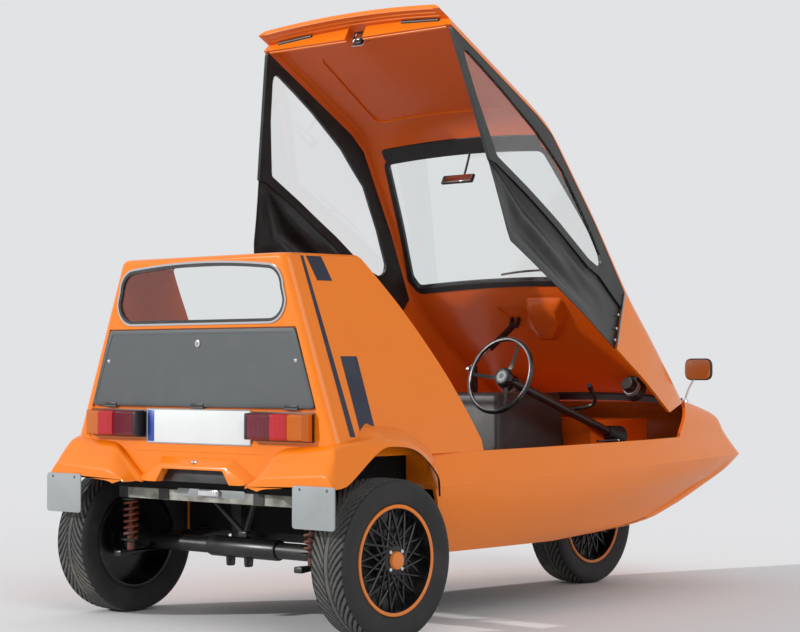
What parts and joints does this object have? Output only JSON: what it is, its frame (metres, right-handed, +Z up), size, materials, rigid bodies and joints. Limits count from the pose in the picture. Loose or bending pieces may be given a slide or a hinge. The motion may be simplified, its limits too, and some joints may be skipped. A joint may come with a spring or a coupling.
{
  "type": "three-wheeled microcar",
  "caption": "Wedge-shaped three-wheeled microcar with a forward-tilting canopy, drop-down boot lid and one steered front wheel.",
  "frame": {"origin": "centre of the bounding box at the foot of the tyres", "axes": "+Y forward, +X to the car's right, +Z up"},
  "size_m": [1.428, 2.794, 2.2069],
  "materials": {
    "body_paint": "glossy pigmented fibreglass",
    "inner_paint": "glossy pigmented fibreglass, inner side",
    "chassis_paint": "satin black enamel",
    "clear_glass": "clear laminated glass",
    "clear_screen": "clear flexible sheet",
    "bright_trim": "polished bright metal",
    "red_lens": "clear coloured lens",
    "plate_white": "smooth reflective sheet",
    "flap_grey": "satin grey",
    "black_vinyl": "grained vinyl",
    "dark_vinyl": "grained vinyl",
    "engine_iron": "cast surface",
    "black_steel": "black enamel",
    "spring_paint": "orange enamel",
    "tyre_rubber": "road tyre rubber",
    "rim_black": "gloss black with orange lip",
    "lamp_black": "black moulding",
    "lid_grey": "grained grey",
    "wheel_black": "smooth black rim"
  },
  "bodies": {
    "body": {"chassis_frame": "chassis_paint", "lower_tub": "body_paint", "cabin_moulding": "inner_paint", "nose_shell": "body_paint", "sill_left": "body_paint", "sill_right": "body_paint", "tail_shell": "body_paint", "rear_wings": "body_paint", "rear_valance": "body_paint", "rear_window": "clear_glass", "window_trim": "bright_trim", "tail_lamps": "red_lens", "number_plate": "plate_white", "plate_lamp": "bright_trim", "mudflaps": "flap_grey", "seat_cushions": "black_vinyl", "engine_cover": "dark_vinyl", "engine_block": "engine_iron", "steering_column": "black_steel", "gear_lever": "black_steel", "rear_axle": "chassis_paint", "axle_link": "chassis_paint", "coil_springs": "spring_paint", "wing_mirrors": "black_steel", "sill_catches": "black_steel", "steering_head": "chassis_paint", "strut_post": "black_steel"},
    "front_fork": {"front_fork": "chassis_paint"},
    "canopy": {"canopy_shell": "body_paint", "windscreen": "clear_glass", "screen_frames": "black_vinyl", "side_windows": "clear_screen", "side_skirts": "black_vinyl", "headlamps": "lamp_black", "interior_mirror": "lamp_black", "roof_latch": "bright_trim"},
    "boot_lid": {"boot_lid": "lid_grey"},
    "steering_wheel": {"steering_wheel": "wheel_black"},
    "strut_barrel": {"strut_barrel": "black_steel"},
    "strut_rod": {"strut_rod": "bright_trim"},
    "wheel_left": {"left_tyre": "tyre_rubber", "left_rim": "rim_black"},
    "wheel_right": {"right_tyre": "tyre_rubber", "right_rim": "rim_black"},
    "wheel_front": {"front_tyre": "tyre_rubber", "front_rim": "rim_black"}
  },
  "joints": [
    {"name": "left_wheel_spin", "type": "hinge", "parent": "body", "child": "wheel_left", "pos_m": [-0.637, -1.091, 0.266], "axis": [1, 0, 0], "continuous": true},
    {"name": "right_wheel_spin", "type": "hinge", "parent": "body", "child": "wheel_right", "pos_m": [0.637, -1.091, 0.266], "axis": [1, 0, 0], "continuous": true},
    {"name": "steer", "type": "hinge", "parent": "body", "child": "front_fork", "pos_m": [0, 0.865, 0.5], "axis": [0, 0, 1], "range_deg": [-30, 30]},
    {"name": "front_wheel_spin", "type": "hinge", "parent": "front_fork", "child": "wheel_front", "pos_m": [0, 0.865, 0.266], "axis": [1, 0, 0], "continuous": true},
    {"name": "steering_wheel_turn", "type": "hinge", "parent": "body", "child": "steering_wheel", "pos_m": [0.3, -0.051, 0.868], "axis": [0, -0.9509, 0.3096], "range_deg": [-360, 360]},
    {"name": "canopy_tilt", "type": "hinge", "parent": "body", "child": "canopy", "pos_m": [0, 0.959, 0.77], "axis": [1, 0, 0], "range_deg": [0, 28]},
    {"name": "boot_lid_drop", "type": "hinge", "parent": "body", "child": "boot_lid", "pos_m": [0, -1.324, 0.756], "axis": [1, 0, 0], "range_deg": [0, 90]},
    {"name": "strut_swing", "type": "hinge", "parent": "canopy", "child": "strut_barrel", "pos_m": [-0.09, 0.52555, 1.07522], "axis": [1, 0, 0], "range_deg": [-78.3, 0]},
    {"name": "strut_slide", "type": "slide", "parent": "strut_barrel", "child": "strut_rod", "axis": [0, 0.8464, 0.5326], "range_m": [0, 0.139]}
  ],
  "couplings": [
    {"joint": "steering_wheel_turn", "follows": "steer", "ratio": 12},
    {"joint": "strut_swing", "follows": "canopy_tilt", "ratio": -2.7257},
    {"joint": "strut_slide", "follows": "canopy_tilt", "m_per_rad": 0.28042}
  ]
}
